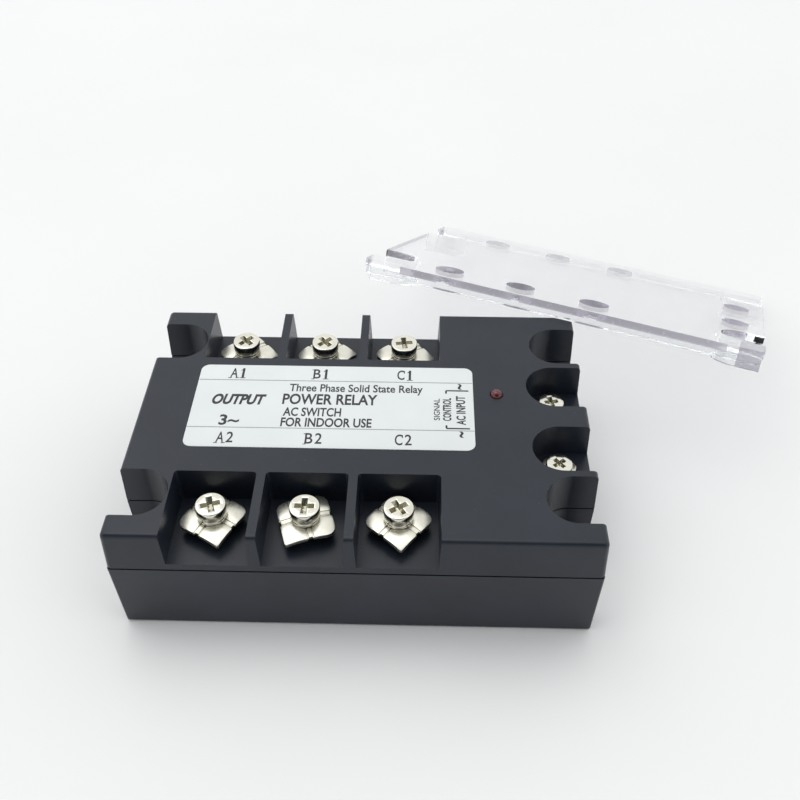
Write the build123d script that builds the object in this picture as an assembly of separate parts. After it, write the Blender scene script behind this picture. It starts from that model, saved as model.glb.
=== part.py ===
from build123d import *
import math
import os

# Three-phase solid state relay with its clear guard lying off it.
# Millimetres. +X runs along the case, +Y to the back, +Z up. The origin is under the middle of the base.

# Case
case_length = 105.0
case_width = 75.0
case_height = 30.5
seam_z = 20.0
lower_gap = 0.3            # the plastic stops this far above the metal base's underside
upper_draft = 2.4          # degrees, narrowing upwards
lower_draft = 1.2          # degrees, narrowing downwards
corner_radius = 1.8
top_round = 1.1
rim_round = 0.3
seam_chamfer = 0.25
wall = 2.0
thin_wall = 1.5
roof = 2.0

# Terminal bays: three phases, front and back
phases = {"a": -31.0, "b": -11.0, "c": 9.0}
rows = {"1": 1, "2": -1}   # row 1 is at the back, row 2 at the front
bay_width = 18.0
bay_draft = 2.6            # degrees, the fins are thicker at the foot
bay_inner_y = 18.75
floor_z = 21.8
screw_y = 27.0

# Mounting notches and control wells
notch_x = 46.7
notch_y = 25.0
notch_radius = 6.5
well_x = 45.1
well_y = 10.1
well_radius = 6.75

# Metal base
base_thickness = 3.0
mount_x = 46.5
mount_y = 25.0
mount_hole_radius = 2.4

# Power screws, M4 with a cheese head
power = {
    "shank": 2.0, "length": 12.0, "head": 3.45, "head_height": 2.6, "cross": 4.2, "cross_width": 0.85,
    "washer": 3.6, "washer_height": 1.0, "bush": 2.95, "bush_top": 24.7,
    "plate": 11.3, "plate_height": 0.9, "plate_flat": 3.0, "plate_drop": 0.8,
}
# Control screws, M3 with a pan head
control = {
    "shank": 1.5, "length": 6.5, "head": 3.0, "head_height": 2.0, "cross": 3.4, "cross_width": 0.7,
    "washer": 2.8, "washer_height": 0.7, "bush": 2.45, "bush_top": 22.2,
    "plate": 7.6, "plate_height": 0.7, "plate_flat": 2.5, "plate_drop": 0.25,
}
running_clearance = 0.06
control_x = 44.9
# How far each screw and each clamp plate happens to be turned, in degrees
screw_turn = {"a1": 45, "b1": 42, "c1": 8, "a2": 18, "b2": 0, "c2": 32, "in1": 10, "in2": 38}
plate_turn = {"a1": 42, "b1": 50, "c1": 38, "a2": -29, "b2": 17.5, "c2": -40, "in1": 20, "in2": -15}

# Inside
board_z = 14.0
board_thickness = 1.6
case_screw_radius = 1.5
case_screw_length = 25.0
board_screws = [(-46.0, 9.0), (-46.0, -9.0)]
pocket_screws = [(29.0, 29.0), (29.0, -29.0)]
post_radius = 3.2
board_posts = [(42.5, 15.0), (42.5, -15.0)]
led_x = 31.2
led_y = 7.0
led_radius = 1.5
potting_top = 9.5
tile_size = (16.6, 42.6, 0.6)
module_size = (15.0, 42.0, 2.0)
chip_size = (6.5, 6.5, 1.2)
chip_y = 6.0
lead_radius = 0.45
strap_width = 8.0
strap_thickness = 1.0
strap_foot_y = 20.0        # where a terminal's strap comes down to its module
board_length = 99.0
casting_gap = 0.02         # shrinkage of the potting away from the case

# Label
label_length = 65.6
label_width = 27.5
label_x = -7.1
label_y = 2.25
label_thickness = 0.12

# Clear guard, described seated with its top face at z = 0, then laid against the case
guard_thickness = 2.1
flange_depth = 3.7
flange_thickness = 2.0
skirt_depth = 6.6
skirt_outer = 6.35
skirt_inner = 5.2
guard_hole_radius = 3.9
guard_hole_y = 27.4
guard_control_radius = 3.6
guard_place = (58.56, 68.66, 19.5)
guard_tilt = -24.6
guard_roll = 0.4
guard_turn = -20.2


def block(length, width, height, x=0.0, y=0.0, z=0.0):
    """A box standing on height z, centred on x, y."""
    return Pos(x, y, z + height / 2) * Box(length, width, height)


def post(radius, height, x=0.0, y=0.0, z=0.0):
    """A round post standing on height z."""
    return Pos(x, y, z + height / 2) * Cylinder(radius, height)


def notch_outline(side_x, side_y, radius):
    """A U that opens through the end of the case."""
    centre = (side_x * notch_x, side_y * notch_y)
    return Pos(*centre) * Circle(radius) + Pos(centre[0] + side_x * 10, centre[1]) * Rectangle(20, 2 * radius)


def corners():
    return [(side_x, side_y) for side_x in (-1, 1) for side_y in (-1, 1)]


def notches(radius, low, high):
    cuts = [extrude(Pos(0, 0, low) * notch_outline(x, y, radius), amount=high - low) for x, y in corners()]
    return Part() + cuts


def well_outline(side_y, radius):
    centre = (well_x, side_y * well_y)
    return Pos(*centre) * Circle(radius) + Pos(centre[0] + 10, centre[1]) * Rectangle(20, 2 * radius)


def terminal_places():
    """Name, x, y of every power terminal."""
    bays = [(phase, row) for phase in phases for row in rows]
    return [(phase + row, phases[phase], rows[row] * screw_y, rows[row]) for phase, row in bays]


def control_places():
    return [("in1", control_x, well_y), ("in2", control_x, -well_y)]


# Housing

def case_inside():
    """Length and width of the space inside the lower case."""
    shrink = 2 * (seam_z - lower_gap) * math.tan(math.radians(lower_draft))
    return case_length - shrink - 2 * wall, case_width - shrink - 2 * wall


def ribs(thickness, board_rib_top, pocket_rib_top):
    """The webs that tie the screw posts to the walls, from the base plate up."""
    webs = Part()
    for x, y in board_screws:
        webs += block(8, thickness, board_rib_top - base_thickness, x - 4, y, base_thickness)
    for x, y in pocket_screws:
        middle = math.copysign(case_width / 4 + abs(y) / 2, y)
        width = case_width / 2 - abs(y)
        webs += block(thickness, width, pocket_rib_top - base_thickness, x, middle, base_thickness)
    return webs


def base_plate():
    """The metal base, with a tab that reaches out into each mounting notch."""
    length = case_length - 2 * 0.42 - 2 * wall - 0.3
    width = case_width - 2 * 0.42 - 2 * wall - 0.3
    outline = RectangleRounded(length, width, 1.5)
    tab_end = case_length / 2 - 0.6
    for side_x, side_y in corners():
        tab = Rectangle(tab_end - notch_x, 2 * notch_radius - 0.6)
        outline += Pos(side_x * (tab_end + notch_x) / 2, side_y * notch_y) * tab
    plate = extrude(outline, amount=base_thickness)
    plate = chamfer(plate.faces().sort_by(Axis.Z)[0].edges(), 0.25)
    for side_x, side_y in corners():
        plate -= post(mount_hole_radius, base_thickness + 2, side_x * mount_x, side_y * mount_y, -1)
    for x, y in board_screws + pocket_screws:
        plate -= post(case_screw_radius + running_clearance, base_thickness + 2, x, y, -1)
        plate -= Pos(x, y, 0.95) * Cone(3.15, case_screw_radius, 1.9)
    return plate


def lower_case():
    """The open frame between the metal base and the seam."""
    height = seam_z - lower_gap
    shrink = 2 * height * math.tan(math.radians(lower_draft))
    foot = RectangleRounded(case_length - shrink, case_width - shrink, corner_radius - 0.4)
    shell = extrude(Pos(0, 0, lower_gap) * foot, amount=height, taper=-lower_draft)
    shell = chamfer(shell.faces().sort_by(Axis.Z)[-1].edges(), seam_chamfer)
    outer = shell
    shell -= block(*case_inside(), case_height, z=-1)
    shell += outer & notches(notch_radius + thin_wall, base_thickness, seam_z)
    shell += outer & ribs(thin_wall, board_z, seam_z)
    for x, y in board_screws + board_posts:
        shell += post(post_radius, board_z - base_thickness, x, y, base_thickness)
    for x, y in pocket_screws:
        shell += post(post_radius, seam_z - base_thickness, x, y, base_thickness)
    for x, y in board_screws + pocket_screws:
        shell -= post(case_screw_radius + running_clearance, case_height, x, y, 0)
    return shell - notches(notch_radius, -1, case_height)


def bay(x, side):
    """The space of one terminal bay, wider at the top."""
    height = case_height - floor_z + 1
    spread = 2 * height * math.tan(math.radians(bay_draft))
    depth = 30.0
    foot = Rectangle(bay_width - spread * 0.9, depth)
    inner = bay_inner_y + 0.4
    return extrude(Pos(x, side * (inner + depth / 2), floor_z) * foot, amount=height, taper=-bay_draft)


def upper_case():
    """The cover shell: roof, six terminal bays, two control wells and the four notches."""
    height = case_height - seam_z
    foot = Pos(0, 0, seam_z) * RectangleRounded(case_length, case_width, corner_radius)
    shell = extrude(foot, amount=height, taper=upper_draft)
    shell = fillet(shell.faces().sort_by(Axis.Z)[-1].edges(), top_round)
    shell = chamfer(shell.faces().sort_by(Axis.Z)[0].edges(), seam_chamfer)
    for x in phases.values():
        for side in rows.values():
            shell -= bay(x, side)
    for side in rows.values():
        shell -= extrude(Pos(0, 0, floor_z) * well_outline(side, well_radius), amount=height)
    shell -= notches(notch_radius, seam_z - 1, case_height + 1)
    rims = shell.faces().filter_by(Plane.XY).sort_by(Axis.Z)[-1].edges().filter_by(GeomType.CIRCLE)
    shell = fillet([edge for edge in rims if edge.radius > 6], rim_round)
    middle_left = -case_length / 2 + wall
    middle_right = well_x - well_radius - thin_wall
    middle_width = 2 * (notch_y - notch_radius - thin_wall)
    cavity_height = case_height - roof - seam_z + 1
    middle = (middle_left + middle_right) / 2
    shell -= block(middle_right - middle_left, middle_width, cavity_height, middle, 0, seam_z - 1)
    pocket_left = phases["c"] + bay_width / 2 + wall
    pocket_right = notch_x - notch_radius - thin_wall
    pocket_low = middle_width / 2 - 0.01
    pocket_high = case_width / 2 - wall - 0.6
    for side in rows.values():
        y = side * (pocket_low + pocket_high) / 2
        x = (pocket_left + pocket_right) / 2
        shell -= block(pocket_right - pocket_left, pocket_high - pocket_low, cavity_height, x, y, seam_z - 1)
    for x, y in board_screws:
        shell += post(3.0, case_height - roof - board_z - board_thickness, x, y, board_z + board_thickness)
    for x, y in pocket_screws:
        shell += post(3.2, case_height - roof - seam_z, x, y, seam_z)
    for x, y in board_screws + pocket_screws:
        shell -= post(case_screw_radius + running_clearance, case_screw_length + 0.5, x, y, 0.3)
    for name, x, y, side in terminal_places():
        shell -= post(power["bush"] + running_clearance, 5, x, y, seam_z - 1)
    for name, x, y in control_places():
        shell -= post(control["bush"] + running_clearance, 5, x, y, seam_z - 1)
    return shell - post(led_radius + 0.1, roof + 2, led_x, led_y, case_height - roof - 1)


def rating_label():
    plate = RectangleRounded(label_length, label_width, 2.0)
    return extrude(Pos(label_x, label_y, case_height) * plate, amount=label_thickness)


def case_screws():
    """Four long countersunk screws that come up through the metal base."""
    screws = []
    for x, y in board_screws + pocket_screws:
        screw = post(case_screw_radius, case_screw_length - 0.2, 0, 0, 0.2)
        screw += Pos(0, 0, 0.2 + 0.7) * Cone(2.8, case_screw_radius, 1.4)
        screw -= block(2.6, 0.6, 1.0, z=0) + block(0.6, 2.6, 1.0, z=0)
        screws.append(Pos(x, y, 0) * screw)
    return Compound(children=screws)


# Terminals

def screw(size):
    """A cross-head screw with its head's underside at z = 0."""
    head = post(size["head"], size["head_height"])
    head = fillet(head.faces().sort_by(Axis.Z)[-1].edges(), 0.25)
    depth = size["head_height"] * 0.6
    top = size["head_height"]
    recess = block(size["cross"], size["cross_width"], depth + 1, z=top - depth)
    recess += block(size["cross_width"], size["cross"], depth + 1, z=top - depth)
    recess += Pos(0, 0, top - depth / 2) * Cone(0.3, size["cross"] * 0.3, depth)
    shank = post(size["shank"], size["length"], z=-size["length"])
    shank = chamfer(shank.faces().sort_by(Axis.Z)[0].edges(), 0.4)
    return head - recess + shank


def spring_washer(size):
    """A split ring."""
    inner = size["shank"] + running_clearance + 0.1
    ring = post(size["washer"], size["washer_height"]) - post(inner, 3, z=-1)
    split = Rot(30, 0, 0) * Box(size["washer"] * 2, 0.5, 6)
    return ring - Pos(size["washer"], 0, size["washer_height"] / 2) * split


def clamp_plate(size):
    """A square plate, flat round its hole, with two sides bent down and a nick in each edge."""
    half = size["plate"] / 2
    flat = size["plate_flat"]
    drop = size["plate_drop"]
    thickness = size["plate_height"]
    middle = ((half + flat) / 2, -drop * 0.3)
    top = Line((-flat, thickness), (flat, thickness))
    right = ThreePointArc((flat, thickness), (middle[0], thickness + middle[1]), (half, thickness - drop))
    end = Line((half, thickness - drop), (half, -drop))
    under_right = ThreePointArc((half, -drop), middle, (flat, 0))
    under = Line((flat, 0), (-flat, 0))
    under_left = ThreePointArc((-flat, 0), (-middle[0], middle[1]), (-half, -drop))
    left_end = Line((-half, -drop), (-half, thickness - drop))
    left = ThreePointArc((-half, thickness - drop), (-middle[0], thickness + middle[1]), (-flat, thickness))
    profile = make_face([top, right, end, under_right, under, under_left, left_end, left])
    plate = extrude(Plane.XZ * profile, amount=half, both=True)
    outline = RectangleRounded(size["plate"], size["plate"], size["plate"] * 0.15)
    plate &= extrude(Pos(0, 0, -3) * outline, amount=8)
    nick = Rot(0, 0, 45) * Box(0.7, 0.7, 8)
    for x, y in [(half, 0), (-half, 0), (0, half), (0, -half)]:
        plate -= Pos(x, y, 0) * nick
    return plate - post(size["shank"] + running_clearance, 8, z=-4)


def power_terminal(side):
    """A threaded bush on a bent strap that runs down to the switching module, for a terminal at y = 0."""
    strap_z = board_z - 2.0
    foot_z = base_thickness + tile_size[2] + module_size[2]
    leg_y = screw_y - strap_foot_y
    arm_length = leg_y + strap_width / 2
    bush = post(power["bush"], power["bush_top"] - strap_z, z=strap_z)
    arm = block(strap_width, arm_length, strap_thickness, 0, (strap_width - arm_length) / 2, strap_z)
    leg_height = strap_z - foot_z + strap_thickness
    leg = block(strap_width, strap_thickness, leg_height, 0, strap_thickness / 2 - leg_y, foot_z)
    foot = block(strap_width, 6.0, strap_thickness, 0, -leg_y - 2.0, foot_z)
    terminal = bush + arm + leg + foot - post(power["shank"] + running_clearance, 30, z=strap_z - 1)
    return terminal if side > 0 else Rot(0, 0, 180) * terminal


def control_terminal():
    """A threaded bush that stands on the board."""
    foot = board_z + board_thickness
    bush = post(control["bush"], control["bush_top"] - foot, z=foot)
    bush += post(control["bush"] + 0.8, 1.5, z=foot)
    return bush - post(control["shank"] + running_clearance, 10, z=foot + 0.8)


# Inside

def control_board():
    half = notch_y - notch_radius - thin_wall - 0.6
    board = block(board_length, 2 * half, board_thickness, z=board_z)
    for x, y in board_screws:
        board -= post(case_screw_radius + running_clearance, 4, x, y, board_z - 1)
    return board


def chip_top():
    return base_thickness + tile_size[2] + module_size[2] + chip_size[2]


def ceramic_insulators():
    tiles = [block(*tile_size, x, 0, base_thickness) for x in phases.values()]
    return Compound(children=tiles)


def thyristor_module(x):
    """A copper pad with the two switching chips of one phase."""
    pad = block(*module_size, x, 0, base_thickness + tile_size[2])
    for side in rows.values():
        pad += block(*chip_size, x, side * chip_y, chip_top() - chip_size[2])
    return pad


def gate_leads():
    places = [(x, side * chip_y) for x in phases.values() for side in rows.values()]
    height = board_z - chip_top()
    return Compound(children=[post(lead_radius, height, *place, chip_top()) for place in places])


def potting_compound(terminals, modules):
    """The cast filling around the switching modules."""
    length, width = case_inside()
    depth = potting_top - base_thickness
    filling = block(length - 2 * casting_gap, width - 2 * casting_gap, depth, z=base_thickness)
    filling -= notches(notch_radius + thin_wall + casting_gap, 0, case_height)
    filling -= ribs(thin_wall + 2 * casting_gap, board_z, seam_z)
    for x, y in board_screws + board_posts + pocket_screws:
        filling -= post(post_radius + casting_gap, case_height, x, y, 0)
    filling -= ceramic_insulators()
    for x in phases.values():
        for side in rows.values():
            filling -= post(lead_radius, case_height, x, side * chip_y, base_thickness)
    for piece in terminals + modules:
        filling -= piece
    return filling


def optocouplers():
    top = board_z + board_thickness
    return Compound(children=[block(8.6, 6.4, 3.5, x, 8.0, top) for x in phases.values()])


def resistor(radius, length):
    body = Rot(0, 90, 0) * Cylinder(radius, length)
    return fillet(body.edges().filter_by(GeomType.CIRCLE), radius * 0.35)


def gate_resistors():
    height = board_z + board_thickness + 1.2
    places = [(x + shift, 14.0, height) for x in phases.values() for shift in (-4.2, 4.2)]
    return Compound(children=[Pos(*place) * resistor(1.2, 6.4) for place in places])


def snubber_resistors():
    height = board_z + board_thickness + 2.0
    return Compound(children=[Pos(x, -5.6, height) * resistor(2.0, 12.0) for x in phases.values()])


def snubber_capacitors():
    top = board_z + board_thickness
    body = fillet(block(13.0, 5.4, 11.0, z=0).edges().filter_by(Axis.Z), 0.8)
    return Compound(children=[Pos(x, -11.8, top) * body for x in phases.values()])


def varistors():
    height = board_z + board_thickness + 5.5
    disc = Rot(90, 0, 0) * Cylinder(5.5, 4.0)
    disc = fillet(disc.edges().filter_by(GeomType.CIRCLE), 1.2)
    return Compound(children=[Pos(x, 0.6, height) * disc for x in phases.values()])


def bridge_rectifier():
    body = post(4.4, 5.5, 24.2, -8.0, board_z + board_thickness)
    return chamfer(body.faces().sort_by(Axis.Z)[-1].edges(), 0.6)


def input_capacitor():
    body = post(4.0, 11.0, 23.6, 6.5, board_z + board_thickness)
    return fillet(body.faces().sort_by(Axis.Z)[-1].edges(), 0.7)


def status_led():
    """A 3 mm lamp with a rim and a domed end, up through the roof."""
    foot = 25.6
    shoulder = case_height - 0.3
    body = post(1.9, 1.0, led_x, led_y, foot)
    body += post(led_radius, shoulder - foot, led_x, led_y, foot)
    dome = Pos(led_x, led_y, shoulder) * Sphere(led_radius)
    return body + dome


def led_leads():
    foot = board_z + board_thickness
    return Compound(children=[post(0.28, 25.6 - foot, led_x + shift, led_y, foot) for shift in (-0.9, 0.9)])


# Guard

def clear_guard():
    """The snap-on guard: plate, flange along both long edges and a skirt round each notch."""
    outline = RectangleRounded(case_length, case_width, 2.0)
    plate = extrude(Pos(0, 0, -guard_thickness) * outline, guard_thickness)
    for side in rows.values():
        y = side * (case_width - flange_thickness) / 2
        plate += block(case_length - 2, flange_thickness, flange_depth, 0, y, -flange_depth)
    outer = block(case_length, case_width, skirt_depth, z=-skirt_depth)
    plate += outer & notches(skirt_outer, -skirt_depth, -guard_thickness / 2)
    plate -= notches(skirt_inner, -skirt_depth - 1, 1)
    for name, x, y, side in terminal_places():
        plate -= post(guard_hole_radius, 9, x, side * guard_hole_y, -5)
    for name, x, y in control_places():
        plate -= post(guard_control_radius, 9, x, y, -5)
    return Pos(*guard_place) * Rot(0, 0, guard_turn) * Rot(0, guard_roll, 0) * Rot(guard_tilt, 0, 0) * plate


def build():
    nodes = {
        "base_plate": base_plate(),
        "lower_case": lower_case(),
        "upper_case": upper_case(),
        "rating_label": rating_label(),
        "case_screws": case_screws(),
        "control_board": control_board(),
        "ceramic_insulators": ceramic_insulators(),
        "gate_leads": gate_leads(),
        "optocouplers": optocouplers(),
        "gate_resistors": gate_resistors(),
        "snubber_resistors": snubber_resistors(),
        "snubber_capacitors": snubber_capacitors(),
        "varistors": varistors(),
        "bridge_rectifier": bridge_rectifier(),
        "input_capacitor": input_capacitor(),
        "status_led": status_led(),
        "led_leads": led_leads(),
        "clear_guard": clear_guard(),
    }
    modules = []
    for phase, x in phases.items():
        modules.append(thyristor_module(x))
        nodes["thyristor_module_" + phase] = modules[-1]
    terminals = []
    for name, x, y, side in terminal_places():
        terminals.append(Pos(x, y, 0) * power_terminal(side))
        nodes["power_terminal_" + name] = terminals[-1]
        add_fastener(nodes, name, power, x, y)
    for name, x, y in control_places():
        nodes["control_terminal_" + name] = Pos(x, y, 0) * control_terminal()
        add_fastener(nodes, name, control, x, y)
    nodes["potting_compound"] = potting_compound(terminals, modules)
    return nodes


def add_fastener(nodes, name, size, x, y):
    """The clamp plate, spring washer and screw stacked on one terminal."""
    plate_top = size["bush_top"] + size["plate_height"]
    washer_top = plate_top + size["washer_height"]
    plate = Rot(0, 0, plate_turn[name]) * clamp_plate(size)
    nodes["clamp_plate_" + name] = Pos(x, y, size["bush_top"]) * plate
    nodes["spring_washer_" + name] = Pos(x, y, plate_top) * Rot(0, 0, -70) * spring_washer(size)
    nodes["screw_" + name] = Pos(x, y, washer_top) * Rot(0, 0, screw_turn[name]) * screw(size)


os.makedirs("parts", exist_ok=True)
for node, shape in build().items():
    export_step(shape, "parts/" + node + ".step")
    print(node, round(shape.volume, 2))
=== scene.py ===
import math

import bmesh
import bpy
from mathutils import Euler, Matrix, Vector


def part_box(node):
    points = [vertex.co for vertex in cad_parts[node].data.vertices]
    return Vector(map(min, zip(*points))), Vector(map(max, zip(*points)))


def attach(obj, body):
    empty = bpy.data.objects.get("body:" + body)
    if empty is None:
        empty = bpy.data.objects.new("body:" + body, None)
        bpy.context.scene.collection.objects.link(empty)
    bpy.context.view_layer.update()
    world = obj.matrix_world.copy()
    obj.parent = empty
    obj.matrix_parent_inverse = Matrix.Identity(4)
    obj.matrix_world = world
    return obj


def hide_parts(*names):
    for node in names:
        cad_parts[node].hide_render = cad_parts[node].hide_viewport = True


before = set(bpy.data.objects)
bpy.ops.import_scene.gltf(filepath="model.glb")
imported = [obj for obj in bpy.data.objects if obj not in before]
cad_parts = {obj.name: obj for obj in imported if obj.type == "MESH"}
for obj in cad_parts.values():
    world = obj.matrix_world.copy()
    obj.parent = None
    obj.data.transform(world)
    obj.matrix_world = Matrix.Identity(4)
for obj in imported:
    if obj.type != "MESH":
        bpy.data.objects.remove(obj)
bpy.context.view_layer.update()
print("frame loaded")

mm = 0.001


def place(x=0.0, y=0.0, z=0.0):
    return Matrix.Translation(Vector((x, y, z)) * mm)


def turned(degrees, axis="Z"):
    return Matrix.Rotation(math.radians(degrees), 4, axis)


def sizes(x, y, z):
    return Matrix.Diagonal((x * mm, y * mm, z * mm, 1.0))


def nodeMiddle(node):
    low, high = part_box(node)
    return (low + high) / 2 / mm


def meshFrom(bm, name):
    mesh = bpy.data.meshes.new(name)
    bm.to_mesh(mesh)
    bm.free()
    piece = bpy.data.objects.new(name, mesh)
    bpy.context.scene.collection.objects.link(piece)
    return piece


def closeUp(bm):
    # merged doubles and outward faces
    bmesh.ops.remove_doubles(bm, verts=bm.verts, dist=1e-7)
    bmesh.ops.recalc_face_normals(bm, faces=bm.faces)


def box(length, width, height, x=0.0, y=0.0, z=0.0):
    # a block standing on z
    bm = bmesh.new()
    bmesh.ops.create_cube(bm, size=1.0, matrix=place(x, y, z + height / 2) @ sizes(length, width, height))
    return bm


def roundPost(radius, height, x=0.0, y=0.0, z=0.0, segments=64):
    bm = bmesh.new()
    bmesh.ops.create_cone(
        bm, cap_ends=True, segments=segments, radius1=radius * mm, radius2=radius * mm, depth=height * mm,
        matrix=place(x, y, z + height / 2),
    )
    return bm


def bevelEdges(bm, edges, width, segments=3):
    bmesh.ops.bevel(
        bm, geom=list(edges), offset=width * mm, offset_type="OFFSET", affect="EDGES", segments=segments,
        profile=0.5, material=-1, clamp_overlap=True,
    )


def uprightEdges(bm):
    return [e for e in bm.edges if abs((e.verts[0].co - e.verts[1].co).normalized().z) > 0.9]


def flatEdges(bm, z):
    return [e for e in bm.edges if all(abs(v.co.z - z * mm) < 1e-6 for v in e.verts)]


def combine(piece, tools, operation):
    for tool in tools:
        change = piece.modifiers.new("combine", "BOOLEAN")
        change.operation = operation
        change.solver = "EXACT"
        change.object = tool
    return bake(piece)


def toolsFrom(bms):
    for bm in bms:
        closeUp(bm)
    return [meshFrom(bm, "tool") for bm in bms]


def cutWith(piece, bms):
    return combine(piece, toolsFrom(bms), "DIFFERENCE")


def joinWith(piece, bms):
    return combine(piece, toolsFrom(bms), "UNION")


def bake(piece):
    # the modifiers' result becomes the mesh, and what they used goes away
    graph = bpy.context.evaluated_depsgraph_get()
    made = bpy.data.meshes.new_from_object(piece.evaluated_get(graph))
    used = [m.object for m in piece.modifiers if getattr(m, "object", None)]
    piece.modifiers.clear()
    piece.data = made
    for other in used:
        bpy.data.objects.remove(other)
    return piece


def softenEdges(piece, width, segments=3, angle=34.0):
    change = piece.modifiers.new("edges", "BEVEL")
    change.width = width * mm
    change.segments = segments
    change.limit_method = "ANGLE"
    change.angle_limit = math.radians(angle)
    change.use_clamp_overlap = True
    change.miter_outer = "MITER_ARC"
    return bake(piece)


def smoothFaces(piece, angle=32.0):
    bm = bmesh.new()
    bm.from_mesh(piece.data)
    bmesh.ops.remove_doubles(bm, verts=bm.verts, dist=1e-7)
    for face in bm.faces:
        face.smooth = True
    for edge in bm.edges:
        edge.smooth = len(edge.link_faces) == 2 and edge.calc_face_angle(0.0) < math.radians(angle)
    bm.to_mesh(piece.data)
    bm.free()
    return piece


def evenShading(piece):
    change = piece.modifiers.new("shading", "WEIGHTED_NORMAL")
    change.keep_sharp = True
    change.weight = 80
    return bake(piece)


def finishPiece(piece, material, body, nodes=()):
    piece.data.materials.clear()
    piece.data.materials.append(material)
    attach(piece, body)
    if nodes:
        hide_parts(*nodes)
    return piece


def newMaterial(name, **shader):
    material = bpy.data.materials.new(name)
    material.use_nodes = True
    tree = material.node_tree
    base = tree.nodes["Principled BSDF"]
    for socket, value in shader.items():
        base.inputs[socket].default_value = value
    return material, tree, base


def addNode(tree, kind, inputs=None, **settings):
    node = tree.nodes.new(kind)
    for key, value in settings.items():
        setattr(node, key, value)
    for key, value in (inputs or {}).items():
        node.inputs[key].default_value = value
    return node


def objectPlace(tree, scale=(1, 1, 1)):
    coordinate = addNode(tree, "ShaderNodeTexCoord")
    mapping = addNode(tree, "ShaderNodeMapping", {"Scale": scale})
    tree.links.new(coordinate.outputs["Object"], mapping.inputs["Vector"])
    return mapping.outputs["Vector"]


def noise(tree, where, scale, detail=3.0, roughness=0.55):
    node = addNode(tree, "ShaderNodeTexNoise", {"Scale": scale, "Detail": detail, "Roughness": roughness})
    tree.links.new(where, node.inputs["Vector"])
    return node.outputs["Fac"]


def ramp(tree, value, stops):
    node = addNode(tree, "ShaderNodeValToRGB")
    elements = node.color_ramp.elements
    while len(elements) < len(stops):
        elements.new(0.5)
    for element, (position, colour) in zip(elements, stops):
        element.position = position
        element.color = (*colour, 1.0) if len(colour) == 3 else colour
    tree.links.new(value, node.inputs["Fac"])
    return node.outputs["Color"]


def spread(tree, value, low, high, fromLow=0.3, fromHigh=0.7):
    node = addNode(
        tree, "ShaderNodeMapRange",
        {"From Min": fromLow, "From Max": fromHigh, "To Min": low, "To Max": high},
    )
    tree.links.new(value, node.inputs["Value"])
    return node.outputs["Result"]


def bump(tree, base, height, strength, distance, under=None):
    node = addNode(tree, "ShaderNodeBump", {"Strength": strength, "Distance": distance * mm})
    tree.links.new(height, node.inputs["Height"])
    if under is not None:
        tree.links.new(under, node.inputs["Normal"])
    tree.links.new(node.outputs["Normal"], base.inputs["Normal"])
    return node.outputs["Normal"]


casePaint = {
    "dark": (0.010, 0.0140, 0.022), "light": (0.0145, 0.0190, 0.029), "roughness": (0.28, 0.38),
    "grain": 5200.0, "cloud": 90.0, "grainDepth": 0.03, "dust": 1500.0, "dustColour": (0.05, 0.06, 0.075),
}


def casePlastic():
    material, tree, base = newMaterial("casePlastic", IOR=1.43)
    where = objectPlace(tree)
    cloud = noise(tree, where, casePaint["cloud"])
    tint = ramp(tree, cloud, [(0.3, casePaint["dark"]), (0.7, casePaint["light"])])
    speck = noise(tree, where, casePaint["dust"], 1.0)
    mix = addNode(tree, "ShaderNodeMix", data_type="RGBA")
    tree.links.new(spread(tree, speck, 0.0, 0.5, 0.74, 0.80), mix.inputs[0])
    tree.links.new(tint, mix.inputs[6])
    mix.inputs[7].default_value = (*casePaint["dustColour"], 1.0)
    tree.links.new(mix.outputs[2], base.inputs["Base Color"])
    grain = noise(tree, where, casePaint["grain"], 2.0)
    tree.links.new(spread(tree, grain, *casePaint["roughness"]), base.inputs["Roughness"])
    bump(tree, base, grain, 0.35, casePaint["grainDepth"])
    return material


def metal(name, dark, light, roughness, grain, scratches=0.25, stretch=(1, 1, 1)):
    material, tree, base = newMaterial(name, Metallic=1.0)
    where = objectPlace(tree, stretch)
    cloud = noise(tree, where, 320.0)
    tree.links.new(ramp(tree, cloud, [(0.3, dark), (0.7, light)]), base.inputs["Base Color"])
    fine = noise(tree, where, grain, 2.0)
    tree.links.new(spread(tree, fine, *roughness), base.inputs["Roughness"])
    bump(tree, base, fine, scratches, 0.012)
    return material


def paper():
    material, tree, base = newMaterial("labelFilm")
    where = objectPlace(tree)
    cloud = noise(tree, where, 60.0)
    tint = ramp(tree, cloud, [(0.3, (0.72, 0.75, 0.745)), (0.7, (0.77, 0.80, 0.795))])
    tree.links.new(tint, base.inputs["Base Color"])
    fibre = noise(tree, where, 2600.0)
    tree.links.new(spread(tree, fibre, 0.42, 0.55), base.inputs["Roughness"])
    bump(tree, base, fibre, 0.12, 0.01)
    return material


def mottled(name, dark, light, roughness, scale, grain, depth=0.02):
    material, tree, base = newMaterial(name)
    where = objectPlace(tree)
    cloud = noise(tree, where, scale)
    tree.links.new(ramp(tree, cloud, [(0.3, dark), (0.7, light)]), base.inputs["Base Color"])
    fine = noise(tree, where, grain, 2.0)
    tree.links.new(spread(tree, fine, *roughness), base.inputs["Roughness"])
    bump(tree, base, fine, 0.3, depth)
    return material


# the edge and rim colours are painted grey shade for the light seen through the plate's thickness at its cut
# walls, stronger in front and fainter behind
clearPaint = {
    "index": 1.05, "gloss": 1.0, "dark": (0.915, 0.92, 0.935), "light": (0.945, 0.95, 0.96),
    "edgeDark": (0.60, 0.58, 0.66), "edgeLight": (0.68, 0.66, 0.73), "edgeClear": 0.2,
    "rimDark": (0.74, 0.73, 0.78), "rimLight": (0.82, 0.81, 0.85), "rimClear": 0.55,
}


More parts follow.
